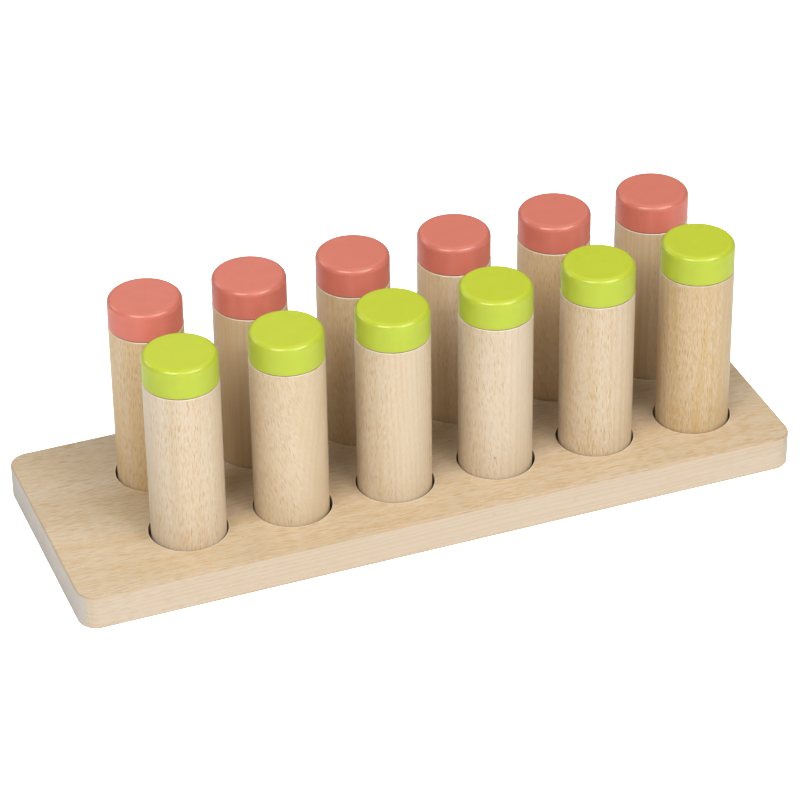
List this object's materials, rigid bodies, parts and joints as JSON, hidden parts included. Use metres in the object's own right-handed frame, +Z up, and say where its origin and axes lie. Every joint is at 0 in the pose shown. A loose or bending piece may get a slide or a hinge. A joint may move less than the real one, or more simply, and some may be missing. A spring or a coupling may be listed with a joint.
{
  "type": "sound box",
  "caption": "Sound-matching toy: closed wooden cylinders with painted caps and loose fillings stand in two rows of sockets in a flat board.",
  "frame": {"origin": "centre of the board's underside", "axes": "+X along the board towards its narrow end, +Y from the green row to the coral row, +Z up"},
  "size_m": [0.4034, 0.141, 0.13],
  "materials": {
    "board_beech": "clear satin lacquer on beech",
    "tube_beech": "clear satin lacquer on turned beech",
    "green_paint": "satin yellow-green paint on turned beech",
    "coral_paint": "satin coral paint on turned beech",
    "sand": "dry fine sand",
    "rice": "dry polished rice",
    "lentils": "dry lentils",
    "bead_beech": "plain turned beech beads",
    "steel": "polished steel balls",
    "pebble_stone": "smooth river pebbles"
  },
  "bodies": {
    "board": {"base_board": "board_beech"},
    "green_cylinder_1": {"green_tube_1": "tube_beech", "green_cap_1": "green_paint"},
    "green_filling_1": {"green_sand_1": "sand"},
    "green_cylinder_2": {"green_tube_2": "tube_beech", "green_cap_2": "green_paint"},
    "green_filling_2": {"green_rice_2": "rice"},
    "green_cylinder_3": {"green_tube_3": "tube_beech", "green_cap_3": "green_paint"},
    "green_filling_3": {"green_lentils_3": "lentils"},
    "green_cylinder_4": {"green_tube_4": "tube_beech", "green_cap_4": "green_paint"},
    "green_filling_4": {"green_wooden_beads_4": "bead_beech"},
    "green_cylinder_5": {"green_tube_5": "tube_beech", "green_cap_5": "green_paint"},
    "green_filling_5": {"green_steel_balls_5": "steel"},
    "green_cylinder_6": {"green_tube_6": "tube_beech", "green_cap_6": "green_paint"},
    "green_filling_6": {"green_pebbles_6": "pebble_stone"},
    "coral_cylinder_1": {"coral_tube_1": "tube_beech", "coral_cap_1": "coral_paint"},
    "coral_filling_1": {"coral_sand_1": "sand"},
    "coral_cylinder_2": {"coral_tube_2": "tube_beech", "coral_cap_2": "coral_paint"},
    "coral_filling_2": {"coral_rice_2": "rice"},
    "coral_cylinder_3": {"coral_tube_3": "tube_beech", "coral_cap_3": "coral_paint"},
    "coral_filling_3": {"coral_lentils_3": "lentils"},
    "coral_cylinder_4": {"coral_tube_4": "tube_beech", "coral_cap_4": "coral_paint"},
    "coral_filling_4": {"coral_wooden_beads_4": "bead_beech"},
    "coral_cylinder_5": {"coral_tube_5": "tube_beech", "coral_cap_5": "coral_paint"},
    "coral_filling_5": {"coral_steel_balls_5": "steel"},
    "coral_cylinder_6": {"coral_tube_6": "tube_beech", "coral_cap_6": "coral_paint"},
    "coral_filling_6": {"coral_pebbles_6": "pebble_stone"}
  },
  "joints": [
    {"name": "green_lift_1", "type": "slide", "parent": "board", "child": "green_cylinder_1", "axis": [0, 0, 1], "range_m": [0, 0.132]},
    {"name": "green_rattle_1", "type": "slide", "parent": "green_cylinder_1", "child": "green_filling_1", "axis": [0, 0, 1], "range_m": [0, 0.0783]},
    {"name": "green_lift_2", "type": "slide", "parent": "board", "child": "green_cylinder_2", "axis": [0, 0, 1], "range_m": [0, 0.132]},
    {"name": "green_rattle_2", "type": "slide", "parent": "green_cylinder_2", "child": "green_filling_2", "axis": [0, 0, 1], "range_m": [0, 0.0777]},
    {"name": "green_lift_3", "type": "slide", "parent": "board", "child": "green_cylinder_3", "axis": [0, 0, 1], "range_m": [0, 0.132]},
    {"name": "green_rattle_3", "type": "slide", "parent": "green_cylinder_3", "child": "green_filling_3", "axis": [0, 0, 1], "range_m": [0, 0.0813]},
    {"name": "green_lift_4", "type": "slide", "parent": "board", "child": "green_cylinder_4", "axis": [0, 0, 1], "range_m": [0, 0.132]},
    {"name": "green_rattle_4", "type": "slide", "parent": "green_cylinder_4", "child": "green_filling_4", "axis": [0, 0, 1], "range_m": [0, 0.0791]},
    {"name": "green_lift_5", "type": "slide", "parent": "board", "child": "green_cylinder_5", "axis": [0, 0, 1], "range_m": [0, 0.132]},
    {"name": "green_rattle_5", "type": "slide", "parent": "green_cylinder_5", "child": "green_filling_5", "axis": [0, 0, 1], "range_m": [0, 0.0811]},
    {"name": "green_lift_6", "type": "slide", "parent": "board", "child": "green_cylinder_6", "axis": [0, 0, 1], "range_m": [0, 0.132]},
    {"name": "green_rattle_6", "type": "slide", "parent": "green_cylinder_6", "child": "green_filling_6", "axis": [0, 0, 1], "range_m": [0, 0.0807]},
    {"name": "coral_lift_1", "type": "slide", "parent": "board", "child": "coral_cylinder_1", "axis": [0, 0, 1], "range_m": [0, 0.132]},
    {"name": "coral_rattle_1", "type": "slide", "parent": "coral_cylinder_1", "child": "coral_filling_1", "axis": [0, 0, 1], "range_m": [0, 0.0783]},
    {"name": "coral_lift_2", "type": "slide", "parent": "board", "child": "coral_cylinder_2", "axis": [0, 0, 1], "range_m": [0, 0.132]},
    {"name": "coral_rattle_2", "type": "slide", "parent": "coral_cylinder_2", "child": "coral_filling_2", "axis": [0, 0, 1], "range_m": [0, 0.0777]},
    {"name": "coral_lift_3", "type": "slide", "parent": "board", "child": "coral_cylinder_3", "axis": [0, 0, 1], "range_m": [0, 0.132]},
    {"name": "coral_rattle_3", "type": "slide", "parent": "coral_cylinder_3", "child": "coral_filling_3", "axis": [0, 0, 1], "range_m": [0, 0.0813]},
    {"name": "coral_lift_4", "type": "slide", "parent": "board", "child": "coral_cylinder_4", "axis": [0, 0, 1], "range_m": [0, 0.132]},
    {"name": "coral_rattle_4", "type": "slide", "parent": "coral_cylinder_4", "child": "coral_filling_4", "axis": [0, 0, 1], "range_m": [0, 0.0791]},
    {"name": "coral_lift_5", "type": "slide", "parent": "board", "child": "coral_cylinder_5", "axis": [0, 0, 1], "range_m": [0, 0.132]},
    {"name": "coral_rattle_5", "type": "slide", "parent": "coral_cylinder_5", "child": "coral_filling_5", "axis": [0, 0, 1], "range_m": [0, 0.0811]},
    {"name": "coral_lift_6", "type": "slide", "parent": "board", "child": "coral_cylinder_6", "axis": [0, 0, 1], "range_m": [0, 0.132]},
    {"name": "coral_rattle_6", "type": "slide", "parent": "coral_cylinder_6", "child": "coral_filling_6", "axis": [0, 0, 1], "range_m": [0, 0.0807]}
  ]
}
